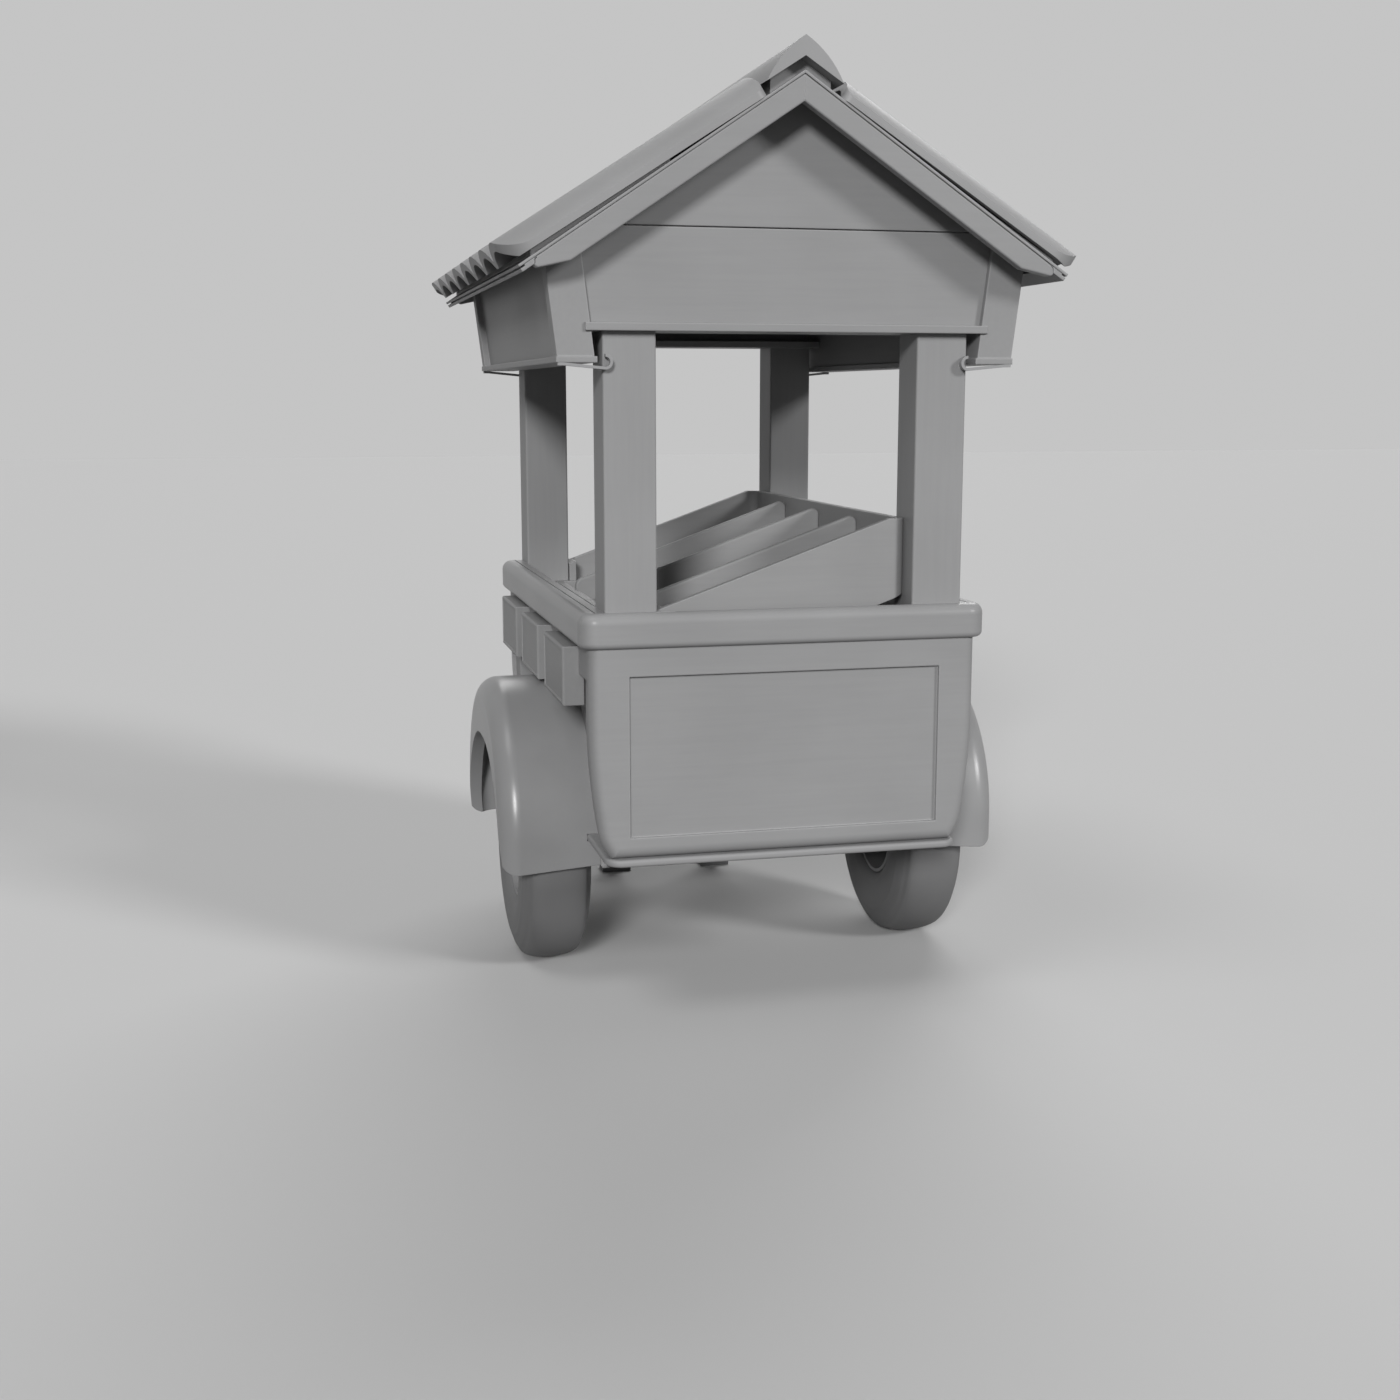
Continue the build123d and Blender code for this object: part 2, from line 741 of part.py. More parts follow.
# Hooks: flat bars under the valance ends, each sloping down to a turned-up ring at its inner end
hook_inner = hook_radius - hook_bar
hook_z = valance_bottom - hook_bar - hook_drop + hook_radius
hook_x = valance_inner - valance_rail_proud - hook_radius - hook_end_gap
pad_x = valance_outer - hook_pad
hook_low = hook_z - hook_radius
hook_section = [
    Line((valance_outer, 0, valance_bottom), (valance_outer, 0, valance_bottom - hook_bar)),
    Line((valance_outer, 0, valance_bottom - hook_bar), (pad_x, 0, valance_bottom - hook_bar)),
    Line((pad_x, 0, valance_bottom - hook_bar), (hook_x, 0, hook_low)),
    ThreePointArc((hook_x, 0, hook_low), (hook_x - hook_radius, 0, hook_z), (hook_x, 0, hook_z + hook_radius)),
    Line((hook_x, 0, hook_z + hook_radius), (hook_x, 0, hook_z + hook_inner)),
    ThreePointArc((hook_x, 0, hook_z + hook_inner), (hook_x - hook_inner, 0, hook_z), (hook_x, 0, hook_low + hook_bar)),
    Line((hook_x, 0, hook_low + hook_bar), (pad_x, 0, valance_bottom)),
    Line((pad_x, 0, valance_bottom), (valance_outer, 0, valance_bottom)),
]
hook_end = valance_half + valance_rail_proud
front_hook = along_y(hook_section, -hook_end, hook_width - hook_end)
hooks = [front_hook, to_left(front_hook), to_back(front_hook), to_left(to_back(front_hook))]
save(Compound(hooks), "valance_hooks")

# Head plates on the posts, and the gable boards on them
plate_half = leaning_x(valance_inner, post_top)
front_head_plate = block(
    (-plate_half, plate_half),
    (-half_spread_y - head_plate_proud, post_size + head_plate_lap - half_spread_y),
    (post_top, post_top + head_plate),
)
plate_face = half_spread_y + head_plate_proud
front_head_plate += block(
    (-plate_half - nosing_lap, plate_half + nosing_lap),
    (-plate_face - nosing_thickness, -plate_face),
    (post_top, post_top + head_plate),
)
save(front_head_plate, "front_head_plate")
save(to_back(front_head_plate), "back_head_plate")

gable_eave = leaning_top(valance_inner)
seam_x = (roof_under(0) - gable_seam_height) / roof_fall
upper_foot = gable_seam_height + gable_seam
upper_x = (roof_under(0) - upper_foot) / roof_fall
lower_board = outline_xz(
    (-leaning_x(valance_inner, gable_foot), gable_foot),
    (leaning_x(valance_inner, gable_foot), gable_foot),
    gable_eave,
    (seam_x, gable_seam_height),
    (-seam_x, gable_seam_height),
    (-gable_eave[0], gable_eave[1]),
)
upper_board = outline_xz((-upper_x, upper_foot), (upper_x, upper_foot), (0, roof_under(0)))
front_gable = [
    along_y(board, -gable_face_y, gable_board - gable_face_y) for board in (lower_board, upper_board)
]
save(Compound(front_gable), "front_gable")
save(Compound([to_back(board) for board in front_gable]), "back_gable")

# Roof boards, barge boards and eave boards
slope = math.radians(roof_pitch)


def roof_top(x):
    """The height of the upper face of the roof boards."""
    return ridge_height - roof_fall * x


deck_section = outline_xz(
    (0, ridge_height),
    (roof_edge_x, roof_top(roof_edge_x)),
    (roof_edge_x - roof_board * math.sin(slope), roof_top(roof_edge_x) - roof_board * math.cos(slope)),
    (0, roof_under(0)),
)
right_roof_deck = along_y(deck_section, -half_roof, half_roof)
save(right_roof_deck, "right_roof_deck")
save(to_left(right_roof_deck), "left_roof_deck")

barge_drop = barge_depth / math.cos(slope)
barge_inner_x = (roof_under(0) - barge_drop - barge_foot) / roof_fall
nose_x = roof_edge_x - barge_nose_set_back
nose_low = barge_foot - math.tan(math.radians(barge_foot_slope)) * (nose_x - barge_inner_x)
barge_section = outline_xz(
    (0, roof_under(0)),
    (nose_x, roof_under(nose_x)),
    (nose_x, nose_low),
    (barge_inner_x, barge_foot),
    (0, roof_under(0) - barge_drop),
)
right_barge = along_y(barge_section, -barge_face_y, barge_thickness - barge_face_y)
nose_edges = right_barge.edges().filter_by(Axis.Y).group_by(Axis.X)[-1]
right_barge = fillet(nose_edges, barge_nose_round)
barge_front = right_barge.faces().sort_by(Axis.Y)[0]
front_edges = [edge for edge in barge_front.edges() if edge.center().X > barge_thickness]
right_barge = fillet(front_edges, barge_edge_round)
save(right_barge, "front_right_barge")
save(to_left(right_barge), "front_left_barge")
save(to_back(right_barge), "back_right_barge")
save(to_left(to_back(right_barge)), "back_left_barge")

eave_frame = Pos(roof_edge_x, 0, roof_top(roof_edge_x)) * Rot(0, roof_pitch, 0)
board_top = -roof_board - eave_packer
eave_section = outline_xz(
    (-eave_packer_set_back, -roof_board),
    (-eave_packer_set_back, board_top),
    (0, board_top),
    (0, board_top - eave_board),
    (-eave_board_width, board_top - eave_board),
    (-eave_board_width, -roof_board),
)
right_eave_board = eave_frame * along_y(eave_section, -barge_face_y, barge_face_y)
right_eave_board -= right_barge
right_eave_board -= to_back(right_barge)
save(Compound([right_eave_board, to_left(right_eave_board)]), "eave_boards")

# Corrugated sheets: a row of arches along Y, drawn square to the fall of the sheet
sheet_angle = math.radians(sheet_pitch)
sheet_length = (sheet_end_x - sheet_top_x) / math.cos(sheet_angle)
bow = arch_rise - valley_height
arch_radius = (arch_pitch ** 2 / 4 + bow ** 2) / (2 * bow)
arch_centre = arch_rise - arch_radius
inner_radius = arch_radius - sheet_thickness
inner_half = math.sqrt(inner_radius ** 2 - arch_centre ** 2)
sheet_edges = [
    Line((-sheet_half, 0), (-sheet_half, valley_height)),
    Line((sheet_half, 0), (sheet_half, valley_height)),
]
foot_start = -sheet_half
for index in range(arch_count):
    start = index * arch_pitch - sheet_half
    middle = start + arch_pitch / 2
    under_start = (middle - inner_half, 0)
    under_end = (middle + inner_half, 0)
    sheet_edges += [
        ThreePointArc((start, valley_height), (middle, arch_rise), (start + arch_pitch, valley_height)),
        Line((foot_start, 0), under_start),
        ThreePointArc(under_start, (middle, arch_rise - sheet_thickness), under_end),
    ]
    foot_start = middle + inner_half
sheet_edges.append(Line((foot_start, 0), (sheet_half, 0)))
sheet_plane = Plane(
    origin=(sheet_top_x, 0, roof_top(sheet_top_x)),
    x_dir=(0, 1, 0),
    z_dir=(math.cos(sheet_angle), 0, -math.sin(sheet_angle)),
)
right_roof_sheet = extrude(sheet_plane * make_face(sheet_edges), amount=sheet_length)
sheet_plan = Pos(sheet_length / 2, 0) * Rectangle(sheet_length, 2 * sheet_half)
sheet_plan = fillet(sheet_plan.vertices().group_by(Axis.X)[-1], sheet_eave_corner)
sheet_plan = fillet(sheet_plan.vertices().group_by(Axis.X)[0], sheet_top_corner)
plan_plane = Plane(
    origin=sheet_plane.origin,
    x_dir=(math.cos(sheet_angle), 0, -math.sin(sheet_angle)),
    z_dir=(math.sin(sheet_angle), 0, math.cos(sheet_angle)),
)
right_roof_sheet &= extrude(plan_plane * sheet_plan, amount=arch_rise + overrun, both=True)
save(right_roof_sheet, "right_roof_sheet")
save(to_left(right_roof_sheet), "left_roof_sheet")


def sheet_foot(x):
    """The height of the underside of a sheet's feet."""
    return roof_top(sheet_top_x) - sheet_fall * (x - sheet_top_x)


batten_section = outline_xz(
    (batten_x, roof_top(batten_x)),
    (batten_x + batten_width, roof_top(batten_x + batten_width)),
    (batten_x + batten_width, sheet_foot(batten_x + batten_width)),
    (batten_x, sheet_foot(batten_x)),
)
right_batten = along_y(batten_section, batten_set_back - sheet_half, sheet_half - batten_set_back)
verge_end = batten_x + batten_width
verge_section = outline_xz(
    (verge_batten_start, roof_top(verge_batten_start)),
    (verge_end, roof_top(verge_end)),
    (verge_end, sheet_foot(verge_end)),
    (verge_batten_start, sheet_foot(verge_batten_start)),
)
verge_y = verge_batten_set_back - sheet_half
verge_batten = along_y(verge_section, verge_y, verge_y + verge_batten_width)
right_battens = [right_batten, verge_batten, to_back(verge_batten)]
save(Compound(right_battens + [to_left(batten) for batten in right_battens]), "tilting_battens")

# Ridge cap: a humped cap over a core that sits on the roof boards
cap_tip = cap_under - sheet_fall * cap_reach
chord = math.hypot(cap_reach, cap_apex - cap_tip)
bulge_x = cap_reach / 2 + cap_bulge * (cap_apex - cap_tip) / chord
bulge_z = (cap_apex + cap_tip) / 2 + cap_bulge * cap_reach / chord
cap_section = [
    ThreePointArc((0, 0, cap_apex), (bulge_x, 0, bulge_z), (cap_reach, 0, cap_tip)),
    Line((cap_reach, 0, cap_tip), (0, 0, cap_under)),
    Line((0, 0, cap_under), (-cap_reach, 0, cap_tip)),
    ThreePointArc((-cap_reach, 0, cap_tip), (-bulge_x, 0, bulge_z), (0, 0, cap_apex)),
]
core_section = outline_xz(
    (0, cap_under),
    (cap_core_reach, cap_under - sheet_fall * cap_core_reach),
    (cap_core_reach, roof_top(cap_core_reach)),
    (0, ridge_height),
    (-cap_core_reach, roof_top(cap_core_reach)),
    (-cap_core_reach, cap_under - sheet_fall * cap_core_reach),
)
ridge_cap = along_y(cap_section, -sheet_half, sheet_half)
ridge_cap += along_y(core_section, cap_core_set_back - sheet_half, sheet_half - cap_core_set_back)
save(ridge_cap, "ridge_cap")
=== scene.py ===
import bpy
import math
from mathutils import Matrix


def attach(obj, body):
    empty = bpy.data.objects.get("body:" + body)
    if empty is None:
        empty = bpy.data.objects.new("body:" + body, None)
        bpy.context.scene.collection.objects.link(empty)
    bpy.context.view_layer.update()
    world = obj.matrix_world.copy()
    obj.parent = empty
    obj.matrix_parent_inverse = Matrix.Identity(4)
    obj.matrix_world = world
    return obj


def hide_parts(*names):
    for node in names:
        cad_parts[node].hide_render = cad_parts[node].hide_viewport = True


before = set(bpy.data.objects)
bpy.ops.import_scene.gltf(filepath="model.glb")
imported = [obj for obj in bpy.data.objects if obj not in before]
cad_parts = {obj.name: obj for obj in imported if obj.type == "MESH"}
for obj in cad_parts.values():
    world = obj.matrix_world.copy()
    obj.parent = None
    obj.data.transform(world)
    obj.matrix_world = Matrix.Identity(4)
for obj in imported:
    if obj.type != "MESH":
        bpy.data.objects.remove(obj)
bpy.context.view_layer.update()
bpy.ops.object.select_all(action="DESELECT")

# Axle, its two seats and the rest legs: square steel bar, welded and bolted up to the base plate.
# All of it is brushed over with one coat of dull grey, a little darker than the stand above it.


def enamel(name, colour, dullness, soft_edge, speckle):
    """Brushed or sprayed grey paint on metal or rubber, uneven in tone and shine, with softened edges."""
    patch_scale = 4.5
    dark_patch, pale_patch = 0.93, 1.05
    shiny_patch, dull_patch = -0.06, 0.08
    peel_scale = 260.0
    peel_depth = 0.0006
    edge_samples = 4
    paint = bpy.data.materials.new(name)
    paint.use_nodes = True
    nodes = paint.node_tree.nodes
    links = paint.node_tree.links
    shader = nodes["Principled BSDF"]
    place = nodes.new("ShaderNodeTexCoord")
    cloud = nodes.new("ShaderNodeTexNoise")
    cloud.inputs["Scale"].default_value = patch_scale
    cloud.inputs["Detail"].default_value = 6.0
    links.new(place.outputs["Object"], cloud.inputs["Vector"])
    tone = nodes.new("ShaderNodeValToRGB")
    tone.color_ramp.elements[0].position = 0.3
    tone.color_ramp.elements[1].position = 0.72
    tone.color_ramp.elements[0].color = (*[dark_patch * c for c in colour], 1.0)
    tone.color_ramp.elements[1].color = (*[pale_patch * c for c in colour], 1.0)
    links.new(cloud.outputs["Fac"], tone.inputs["Fac"])
    links.new(tone.outputs["Color"], shader.inputs["Base Color"])
    dull = nodes.new("ShaderNodeMapRange")
    dull.inputs["To Min"].default_value = dullness + shiny_patch
    dull.inputs["To Max"].default_value = dullness + dull_patch
    links.new(cloud.outputs["Fac"], dull.inputs["Value"])
    links.new(dull.outputs["Result"], shader.inputs["Roughness"])
    peel = nodes.new("ShaderNodeTexNoise")
    peel.inputs["Scale"].default_value = peel_scale
    links.new(place.outputs["Object"], peel.inputs["Vector"])
    soft = nodes.new("ShaderNodeBevel")
    soft.samples = edge_samples
    soft.inputs["Radius"].default_value = soft_edge
    relief = nodes.new("ShaderNodeBump")
    relief.inputs["Strength"].default_value = speckle
    relief.inputs["Distance"].default_value = peel_depth
    links.new(peel.outputs["Fac"], relief.inputs["Height"])
    links.new(soft.outputs["Normal"], relief.inputs["Normal"])
    links.new(relief.outputs["Normal"], shader.inputs["Normal"])
    return paint


def dress(material, *names):
    """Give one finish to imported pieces."""
    for name in names:
        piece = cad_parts[name]
        piece.data.materials.clear()
        piece.data.materials.append(material)


frame_enamel = enamel(
    "frame_enamel", (0.225, 0.225, 0.228), dullness=0.5, soft_edge=0.003, speckle=0.12)
dress(frame_enamel, "axle", "axle_seats", "rest_legs")

# Wheels: pressed steel discs with a rolled rim, sprayed grey. Each is held to its hub by five nuts
# on the dished face and has a short valve through the dish beside the rim.
wheel_x = 0.505
axle_y = -0.105
axle_z = 0.303
wheel_enamel = enamel(
    "wheel_enamel", (0.285, 0.285, 0.288), dullness=0.4, soft_edge=0.002, speckle=0.1)
dress(wheel_enamel, "left_wheel_disc", "right_wheel_disc")


def settle(piece, material, body):
    """Fix a finished piece's place in its mesh, paint it and let it move with its body."""
    bpy.ops.object.transform_apply(location=True, rotation=True, scale=True)
    crease = math.radians(38.0)
    bpy.ops.object.shade_smooth_by_angle(angle=crease)
    piece.data.materials.append(material)
    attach(piece, body)
    bpy.ops.object.select_all(action="DESELECT")


def bar_outwards(sides, radius, length, sunk):
    """A bar along +X whose inner end is sunk behind the face that it stands on."""
    bpy.ops.object.select_all(action="DESELECT")
    bpy.ops.mesh.primitive_cylinder_add(
        vertices=sides, radius=radius, depth=length, location=(length / 2.0 - sunk, 0.0, 0.0),
        rotation=(0.0, math.radians(90.0), 0.0))
    bpy.ops.object.transform_apply(location=True, rotation=True, scale=True)
    return bpy.context.active_object


def pick_outer_face(piece):
    """Leave only the face that looks out along +X selected, in edit mode."""
    straight_out = 0.99
    bpy.ops.object.mode_set(mode="EDIT")
    bpy.ops.mesh.select_mode(type="FACE")
    bpy.ops.mesh.select_all(action="DESELECT")
    bpy.ops.object.mode_set(mode="OBJECT")
    for face in piece.data.polygons:
        face.select = face.normal.x > straight_out
    bpy.ops.object.mode_set(mode="EDIT")


def draw_out(length):
    """Extrude the picked face along +X."""
    bpy.ops.mesh.extrude_region_move(TRANSFORM_OT_translate={"value": (length, 0.0, 0.0)})


def ease_edges(piece, width):
    """Take the sharpness off a modelled piece's edges."""
    eased = piece.modifiers.new("eased", "BEVEL")
    eased.width = width
    eased.segments = 2
    bpy.ops.object.modifier_apply(modifier=eased.name)


def copy_of(pattern, name, spot, turn):
    """A copy of a modelled piece with its own mesh, put in its place."""
    bpy.ops.object.select_all(action="DESELECT")
    pattern.select_set(True)
    bpy.context.view_layer.objects.active = pattern
    bpy.ops.object.duplicate(linked=False)
    piece = bpy.context.active_object
    piece.name = name
    piece.location = spot
    piece.rotation_euler = (0.0, 0.0, turn)
    return piece


def put_away(pattern):
    """Remove a pattern once its copies are in place."""
    bpy.ops.object.select_all(action="DESELECT")
    pattern.select_set(True)
    bpy.ops.object.delete()


nut_count = 5
nut_circle = 0.064
nut_sides = 6
nut_radius = 0.0105
nut_length = 0.013
nut_sunk = 0.003
nut_face = 0.0175
nut_chamfer = 0.0016
nut_crown = 0.0014
nut_edge = 0.0007
stud_inset = 0.0028
stud_length = 0.0042
nut = bar_outwards(nut_sides, nut_radius, nut_length, nut_sunk)
pick_outer_face(nut)
bpy.ops.mesh.inset(thickness=nut_chamfer)
bpy.ops.transform.translate(value=(nut_crown, 0.0, 0.0))
bpy.ops.mesh.inset(thickness=stud_inset)
draw_out(stud_length)
bpy.ops.object.mode_set(mode="OBJECT")
ease_edges(nut, nut_edge)
valve_circle = 0.104
valve_sides = 18
valve_radius = 0.0046
valve_length = 0.018
valve_sunk = 0.004
valve_face = 0.0315
valve_neck_inset = 0.0016
valve_neck = 0.0025
valve_flare = 0.0015
valve_cap_swell = 1.25
valve_cap = 0.007
valve_edge = 0.0005
valve = bar_outwards(valve_sides, valve_radius, valve_length, valve_sunk)
pick_outer_face(valve)
bpy.ops.mesh.inset(thickness=valve_neck_inset)
draw_out(valve_neck)
draw_out(valve_flare)
bpy.ops.transform.resize(value=(1.0, valve_cap_swell, valve_cap_swell))
draw_out(valve_cap)
bpy.ops.object.mode_set(mode="OBJECT")
ease_edges(valve, valve_edge)
for side, body, turn in ((-1.0, "left_wheel", math.pi), (1.0, "right_wheel", 0.0)):
    for number in range(nut_count):
        around = 2.0 * math.pi * number / nut_count
        spot = (side * (wheel_x + nut_face),
                axle_y + nut_circle * math.sin(around), axle_z + nut_circle * math.cos(around))
        fixed = copy_of(nut, body + "_nut_" + str(number + 1), spot, turn)
        settle(fixed, wheel_enamel, body)
    spot = (side * (wheel_x + valve_face), axle_y, axle_z - valve_circle)
    fixed = copy_of(valve, body + "_valve", spot, turn)
    settle(fixed, wheel_enamel, body)
put_away(nut)
put_away(valve)

# Tyres: smooth grey balloon tyres, seated on the rims. The tread is a plain round crown that meets
# the flat side walls at a clear shoulder, and two raised rings run round each side wall.
tyre_radius = 0.303
tyre_half = 0.0935
bead_radius = 0.1373
bead_half = 0.065
shoulder_half = 0.072
shoulder_radius = 0.279
wall_steps = 26
wall_lean = 0.8
wall_fullness = 0.62
wall_allowance = 0.0015
ring_shares = (0.2, 0.72)
ring_reach = 0.03
ring_lift = 0.0012
crown_steps = 18
crown_fullness = 0.85
round_steps = 112
weld = 0.00005
# The tyre grey is darker than the paint partly because it is rubber and partly as painted shade, standing
# in for the shade that falls on the tyres.
tyre_rubber = enamel(
    "tyre_rubber", (0.175, 0.175, 0.177), dullness=0.6, soft_edge=0.002, speckle=0.2)
side_wall = []
for step in range(wall_steps + 1):
    share = step / wall_steps
    radius = bead_radius + share * (shoulder_radius - bead_radius)
    swell = math.sin(math.pi * share ** wall_lean) ** wall_fullness
    straight = bead_half + share * (shoulder_half - bead_half)
    half = straight + swell * (tyre_half - wall_allowance - (bead_half + shoulder_half) / 2.0)
    for ring in ring_shares:
        half += ring_lift if abs(share - ring) < ring_reach else 0.0
    side_wall.append((half, radius))
crown = []
for step in range(1, crown_steps):
    across = math.pi * step / crown_steps
    half = shoulder_half * math.cos(across)
    lift = math.sin(across) ** crown_fullness
    crown.append((half, shoulder_radius + lift * (tyre_radius - shoulder_radius)))
section = side_wall + crown + [(-half, radius) for half, radius in reversed(side_wall)]
bpy.ops.mesh.primitive_plane_add(size=0.01, location=(0.0, 0.0, 0.0))
tyre = bpy.context.active_object
bpy.ops.object.mode_set(mode="EDIT")
bpy.ops.mesh.select_mode(type="VERT")
bpy.ops.mesh.select_all(action="SELECT")
bpy.ops.mesh.merge(type="CENTER")
last = (0.0, 0.0)
for number, (half, radius) in enumerate(section + section[:1]):
    move = (half - last[0], 0.0, radius - last[1])
    if number:
        bpy.ops.mesh.extrude_region_move(TRANSFORM_OT_translate={"value": move})
    else:
        bpy.ops.transform.translate(value=move)
    last = (half, radius)
bpy.ops.mesh.select_all(action="SELECT")
bpy.ops.mesh.remove_doubles(threshold=weld)
bpy.ops.mesh.select_all(action="SELECT")
bpy.ops.mesh.spin(steps=round_steps, angle=2.0 * math.pi, center=(0.0, 0.0, 0.0), axis=(1.0, 0.0, 0.0))
bpy.ops.mesh.select_all(action="SELECT")
bpy.ops.mesh.remove_doubles(threshold=weld)
bpy.ops.mesh.normals_make_consistent(inside=False)
bpy.ops.object.mode_set(mode="OBJECT")
for side, body, node in ((-1.0, "left_wheel", "left_tyre"), (1.0, "right_wheel", "right_tyre")):
    seated = copy_of(tyre, body + "_balloon_tyre", (side * wheel_x, axle_y, axle_z), 0.0)
    settle(seated, tyre_rubber, body)
    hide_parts(node)
put_away(tyre)

# Tub: framed timber ends with a recessed field, and framed sides that curve in to the base plate.
# The boards are glued and screwed from inside, then filled and painted, so only a trace of grain shows.


def painted_board(name, colour, along, dullness, soft_edge):
    """Filled and painted timber whose faint grain runs along one axis, with its edges painted paler,
    partly for wear and partly as a painted highlight.
    """
    mirror_level = 0.3
    scale_along, scale_across = 2.0, 40.0
    grain_scale = 2.2
    grain_tone = 0.97
    grain_strength, grain_depth = 0.05, 0.001
    patch_scale = 3.2
    dark_patch, pale_patch = 0.95, 1.04
    shiny_patch, dull_patch = -0.07, 0.09
    # These set how much paler the edges are painted: partly wear, partly a painted highlight where rounded
    # edges catch the light.
    edge_wear_and_highlight_start, edge_wear_and_highlight_full = 0.995, 0.9
    edge_wear_and_highlight_share, edge_wear_and_highlight_tone = 0.75, 1.6
    edge_samples = 4
    paint = bpy.data.materials.new(name)
    paint.use_nodes = True
    nodes = paint.node_tree.nodes
    links = paint.node_tree.links
    shader = nodes["Principled BSDF"]
    shader.inputs["Specular IOR Level"].default_value = mirror_level
    place = nodes.new("ShaderNodeTexCoord")
    grain_space = nodes.new("ShaderNodeMapping")
    stretch = [scale_along if axis == along else scale_across for axis in "xyz"]
    grain_space.inputs["Scale"].default_value = stretch
    links.new(place.outputs["Object"], grain_space.inputs["Vector"])
    grain = nodes.new("ShaderNodeTexNoise")
    grain.inputs["Scale"].default_value = grain_scale
    grain.inputs["Detail"].default_value = 7.0
    grain.inputs["Roughness"].default_value = 0.62
    links.new(grain_space.outputs["Vector"], grain.inputs["Vector"])
    cloud = nodes.new("ShaderNodeTexNoise")
    cloud.inputs["Scale"].default_value = patch_scale
    cloud.inputs["Detail"].default_value = 5.0
    links.new(place.outputs["Object"], cloud.inputs["Vector"])
    tone = nodes.new("ShaderNodeValToRGB")
    tone.color_ramp.elements[0].position = 0.28
    tone.color_ramp.elements[1].position = 0.72
    tone.color_ramp.elements[0].color = (*[dark_patch * c for c in colour], 1.0)
    tone.color_ramp.elements[1].color = (*[pale_patch * c for c in colour], 1.0)
    links.new(cloud.outputs["Fac"], tone.inputs["Fac"])
    streak = nodes.new("ShaderNodeValToRGB")
    streak.color_ramp.elements[0].position = 0.36
    streak.color_ramp.elements[1].position = 0.6
    streak.color_ramp.elements[0].color = (grain_tone, grain_tone, grain_tone, 1.0)
    streak.color_ramp.elements[1].color = (1.0, 1.0, 1.0, 1.0)
    links.new(grain.outputs["Fac"], streak.inputs["Fac"])
    grained = nodes.new("ShaderNodeMix")
    grained.data_type = "RGBA"
    grained.blend_type = "MULTIPLY"
    grained.inputs["Factor"].default_value = 1.0
    links.new(tone.outputs["Color"], grained.inputs["A"])
    links.new(streak.outputs["Color"], grained.inputs["B"])
    soft = nodes.new("ShaderNodeBevel")
    soft.samples = edge_samples
    soft.inputs["Radius"].default_value = soft_edge
    # Where the softened normal bends away from the true one, the colour is mixed towards a paler grey: a
    # painted highlight along the edges, with some wear.
    surface = nodes.new("ShaderNodeNewGeometry")
    bend = nodes.new("ShaderNodeVectorMath")
    bend.operation = "DOT_PRODUCT"
    links.new(soft.outputs["Normal"], bend.inputs[0])
    links.new(surface.outputs["Normal"], bend.inputs[1])
    edge_wear_and_highlight_mask = nodes.new("ShaderNodeMapRange")
    edge_wear_and_highlight_mask.inputs["From Min"].default_value = edge_wear_and_highlight_start
    edge_wear_and_highlight_mask.inputs["From Max"].default_value = edge_wear_and_highlight_full
    edge_wear_and_highlight_mask.inputs["To Max"].default_value = edge_wear_and_highlight_share
    links.new(bend.outputs["Value"], edge_wear_and_highlight_mask.inputs["Value"])
    edge_wear_and_highlight_mix = nodes.new("ShaderNodeMix")
    edge_wear_and_highlight_mix.data_type = "RGBA"
    edge_wear_and_highlight_mix.inputs["B"].default_value = (*[edge_wear_and_highlight_tone * c for c in colour], 1.0)
    links.new(edge_wear_and_highlight_mask.outputs["Result"], edge_wear_and_highlight_mix.inputs["Factor"])
    links.new(grained.outputs["Result"], edge_wear_and_highlight_mix.inputs["A"])
    links.new(edge_wear_and_highlight_mix.outputs["Result"], shader.inputs["Base Color"])
    dull = nodes.new("ShaderNodeMapRange")
    dull.inputs["To Min"].default_value = dullness + shiny_patch
    dull.inputs["To Max"].default_value = dullness + dull_patch
    links.new(cloud.outputs["Fac"], dull.inputs["Value"])
    links.new(dull.outputs["Result"], shader.inputs["Roughness"])
    relief = nodes.new("ShaderNodeBump")
    relief.inputs["Strength"].default_value = grain_strength
    relief.inputs["Distance"].default_value = grain_depth
    links.new(grain.outputs["Fac"], relief.inputs["Height"])
    links.new(soft.outputs["Normal"], relief.inputs["Normal"])
    links.new(relief.outputs["Normal"], shader.inputs["Normal"])
    return paint


board_grey = (0.305, 0.305, 0.308)
across_board = painted_board(
    "painted_board_across", board_grey, along="x", dullness=0.5, soft_edge=0.005)
lengthways_board = painted_board(
    "painted_board_lengthways", board_grey, along="y", dullness=0.5, soft_edge=0.005)
dress(across_board, "front_panel", "back_panel", "base_plate")
dress(lengthways_board, "left_side", "right_side")

# Fenders: thick rolled-edge mouldings over the wheels, trimmed to the tub and screwed to it from inside.
# They are sprayed in a smoother, shinier grey than the boards.
fender_enamel = enamel(
    "fender_enamel", (0.3, 0.3, 0.303), dullness=0.3, soft_edge=0.003, speckle=0.05)
dress(fender_enamel, "left_fender", "right_fender")

# Counter rim: a heavy rounded moulding round the top of the tub, in four lengths with glued joints.
# It is painted with the tub, and a bead runs along the inner edge of each side length.
rim_across = painted_board(
    "rim_board_across", board_grey, along="x", dullness=0.33, soft_edge=0.0012)
rim_lengthways = painted_board(
    "rim_board_lengthways", board_grey, along="y", dullness=0.33, soft_edge=0.0012)
dress(rim_across, "rim_front", "rim_back")
dress(rim_lengthways, "rim_left", "rim_right")

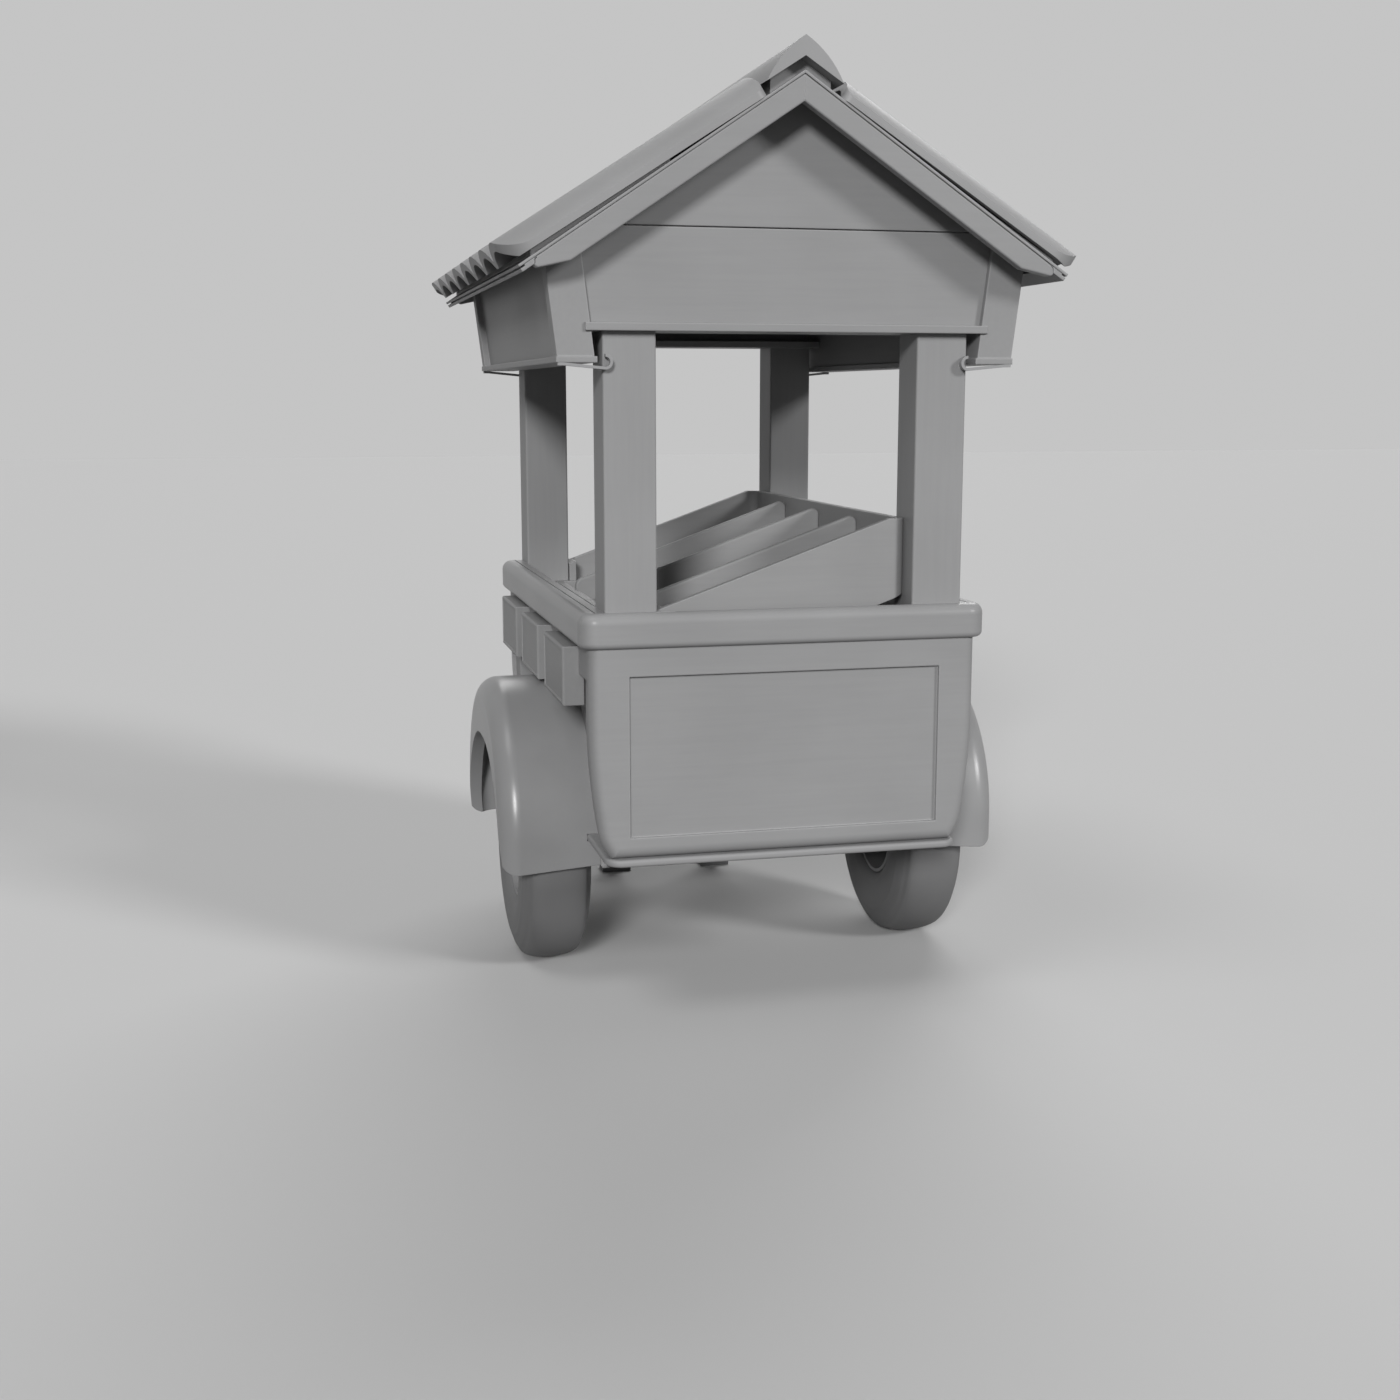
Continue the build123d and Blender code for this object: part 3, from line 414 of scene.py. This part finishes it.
# Deck and produce tray: boards laid inside the rim, with a walled tray on them that rises to the right.
# Three dividers drop between the tray's long walls. The paint is flatter here, where produce rubs it.
tray_grey = (0.3, 0.3, 0.302)
tray_across = painted_board(
    "tray_board_across", tray_grey, along="x", dullness=0.52, soft_edge=0.004)
tray_lengthways = painted_board(
    "tray_board_lengthways", tray_grey, along="y", dullness=0.52, soft_edge=0.004)
dress(tray_across, "tray_front_end", "tray_back_end", "tray_dividers", "tray_floor", "counter_deck")
dress(tray_lengthways, "tray_high_wall", "tray_low_wall")

# Price boxes: three blank framed boxes hung on the left side's top rail.
# They are shop-made of thin board and painted a shade darker than the tub behind them.
box_grey = (0.29, 0.29, 0.292)
box_paint = painted_board(
    "price_box_paint", box_grey, along="y", dullness=0.5, soft_edge=0.004)
dress(box_paint, "price_boxes")

# Posts: four square timbers that stand on the deck in the corners of the rim, with eased edges.
# Their grain runs upright under the same paint as the tub.
upright_board = painted_board(
    "painted_board_upright", board_grey, along="z", dullness=0.5, soft_edge=0.005)
dress(upright_board, "front_left_post", "front_right_post", "back_left_post", "back_right_post")

# Head plates and gables: a nosed plate lies across each pair of posts, and two boards close the gable
# above it with one open seam between them. All are nailed from behind and painted.
dress(across_board, "front_head_plate", "back_head_plate", "front_gable", "back_gable")

# Valances: leaning boxed boards along both sides under the eaves, with a recessed field and a bottom rail.
# A bent steel bar hook is screwed up under each end, left a little brighter and shinier than the paint.
dress(lengthways_board, "left_valance", "right_valance")
hook_steel = enamel(
    "hook_steel", (0.33, 0.33, 0.335), dullness=0.3, soft_edge=0.001, speckle=0.08)
dress(hook_steel, "valance_hooks")

# Roof boards: thin decks on both slopes, with barge boards at the verges and a strip under each eave.
# Battens on the decks tilt the sheets. Everything was painted before the sheets went on.
dress(lengthways_board, "left_roof_deck", "right_roof_deck", "eave_boards", "tilting_battens")
dress(across_board, "front_left_barge", "front_right_barge", "back_left_barge", "back_right_barge")

# Corrugated sheets and ridge cap: big-waved sheets with thick rolled edges, laid on the battens,
# and one humped cap along the ridge. They are sprayed a smooth satin grey.
sheet_enamel = enamel(
    "sheet_enamel", (0.302, 0.302, 0.305), dullness=0.5, soft_edge=0.0015, speckle=0.05)
dress(sheet_enamel, "left_roof_sheet", "right_roof_sheet", "ridge_cap")

# Stage: one pale floor that runs to the horizon under an even pale sky, as in a studio cove.
# Broad soft lamps stand to the left and right of the camera and behind the stand, and a weak one high up.
# Little light comes back off the floor, so that the undersides stay dark as in the photo.
floor_size = 80.0
floor_grey = 0.65
floor_return = 0.12
lamp_distance = 10.0
sky_strength = 0.09
backdrop_grey = 0.557
bpy.ops.mesh.primitive_plane_add(size=floor_size, location=(0.0, 0.0, 0.0))
floor = bpy.context.active_object
floor.name = "studio_floor"
floor_paint = bpy.data.materials.new("studio_floor")
floor_paint.use_nodes = True
floor_nodes = floor_paint.node_tree.nodes
floor_links = floor_paint.node_tree.links
floor_nodes["Principled BSDF"].inputs["Roughness"].default_value = 0.9
floor_nodes["Principled BSDF"].inputs["Specular IOR Level"].default_value = 0.1
floor_tone = floor_nodes.new("ShaderNodeMix")
floor_tone.data_type = "RGBA"
floor_tone.inputs["A"].default_value = (floor_return, floor_return, floor_return, 1.0)
floor_tone.inputs["B"].default_value = (floor_grey, floor_grey, floor_grey, 1.0)
floor_links.new(floor_tone.outputs["Result"], floor_nodes["Principled BSDF"].inputs["Base Color"])
floor.data.materials.append(floor_paint)


def where_seen(tree):
    """One for a ray that shows the surface itself, straight on, mirrored or through glass."""
    path = tree.nodes.new("ShaderNodeLightPath")
    mirrored = tree.nodes.new("ShaderNodeMath")
    mirrored.operation = "MAXIMUM"
    tree.links.new(path.outputs["Is Glossy Ray"], mirrored.inputs[0])
    tree.links.new(path.outputs["Is Transmission Ray"], mirrored.inputs[1])
    shown = tree.nodes.new("ShaderNodeMath")
    shown.operation = "MAXIMUM"
    tree.links.new(path.outputs["Is Camera Ray"], shown.inputs[0])
    tree.links.new(mirrored.outputs["Value"], shown.inputs[1])
    return shown.outputs["Value"]


floor_links.new(where_seen(floor_paint.node_tree), floor_tone.inputs["Factor"])
lamps = (
    ("left_lamp", (-0.346, -0.875, 0.345), 1.95, 12.0),
    ("right_lamp", (0.6, -0.688, 0.41), 1.3, 12.0),
    ("high_lamp", (-0.4, -0.2, 0.9), 0.4, 24.0),
    ("back_lamp", (0.3, 0.72, 0.62), 1.2, 40.0),
)
for name, (right, back, up), energy, spread in lamps:
    reach = math.sqrt(right * right + back * back + up * up)
    bpy.ops.object.light_add(
        type="SUN", location=(lamp_distance * right, lamp_distance * back, lamp_distance * up),
        rotation=(math.acos(up / reach), 0.0, math.atan2(right, -back)))
    lamp = bpy.context.active_object
    lamp.name = name
    lamp.data.energy = energy
    lamp.data.angle = math.radians(spread)
sky = bpy.data.worlds.new("studio_sky")
bpy.context.scene.world = sky
sky.use_nodes = True
sky_nodes = sky.node_tree.nodes
sky_links = sky.node_tree.links
sky_nodes["Background"].inputs["Color"].default_value = (1.0, 1.0, 1.0, 1.0)
sky_nodes["Background"].inputs["Strength"].default_value = sky_strength
backdrop = sky_nodes.new("ShaderNodeBackground")
backdrop.inputs["Color"].default_value = (backdrop_grey, backdrop_grey, backdrop_grey, 1.0)
choose = sky_nodes.new("ShaderNodeMixShader")
sky_links.new(where_seen(sky.node_tree), choose.inputs["Fac"])
sky_links.new(sky_nodes["Background"].outputs["Background"], choose.inputs[1])
sky_links.new(backdrop.outputs["Background"], choose.inputs[2])
sky_links.new(choose.outputs["Shader"], sky_nodes["World Output"].inputs["Surface"])

# Camera: stood in front of the stand's left corner at eye height, as in the photo.
# Its place, tilt, turn and lens were fitted to the tub, the posts and the roof.
camera_place = (-1.1706, -4.6282, 1.484)
camera_tilt = math.radians(80.13)
camera_turn = math.radians(-13.68)
camera_lens = 44.85
camera_sensor = 36.0
bpy.ops.object.camera_add(location=camera_place, rotation=(camera_tilt, 0.0, camera_turn))
camera = bpy.context.active_object
camera.name = "photo_camera"
camera.data.sensor_width = camera_sensor
camera.data.lens = camera_lens
bpy.context.scene.camera = camera
bpy.context.scene.view_settings.view_transform = "Standard"
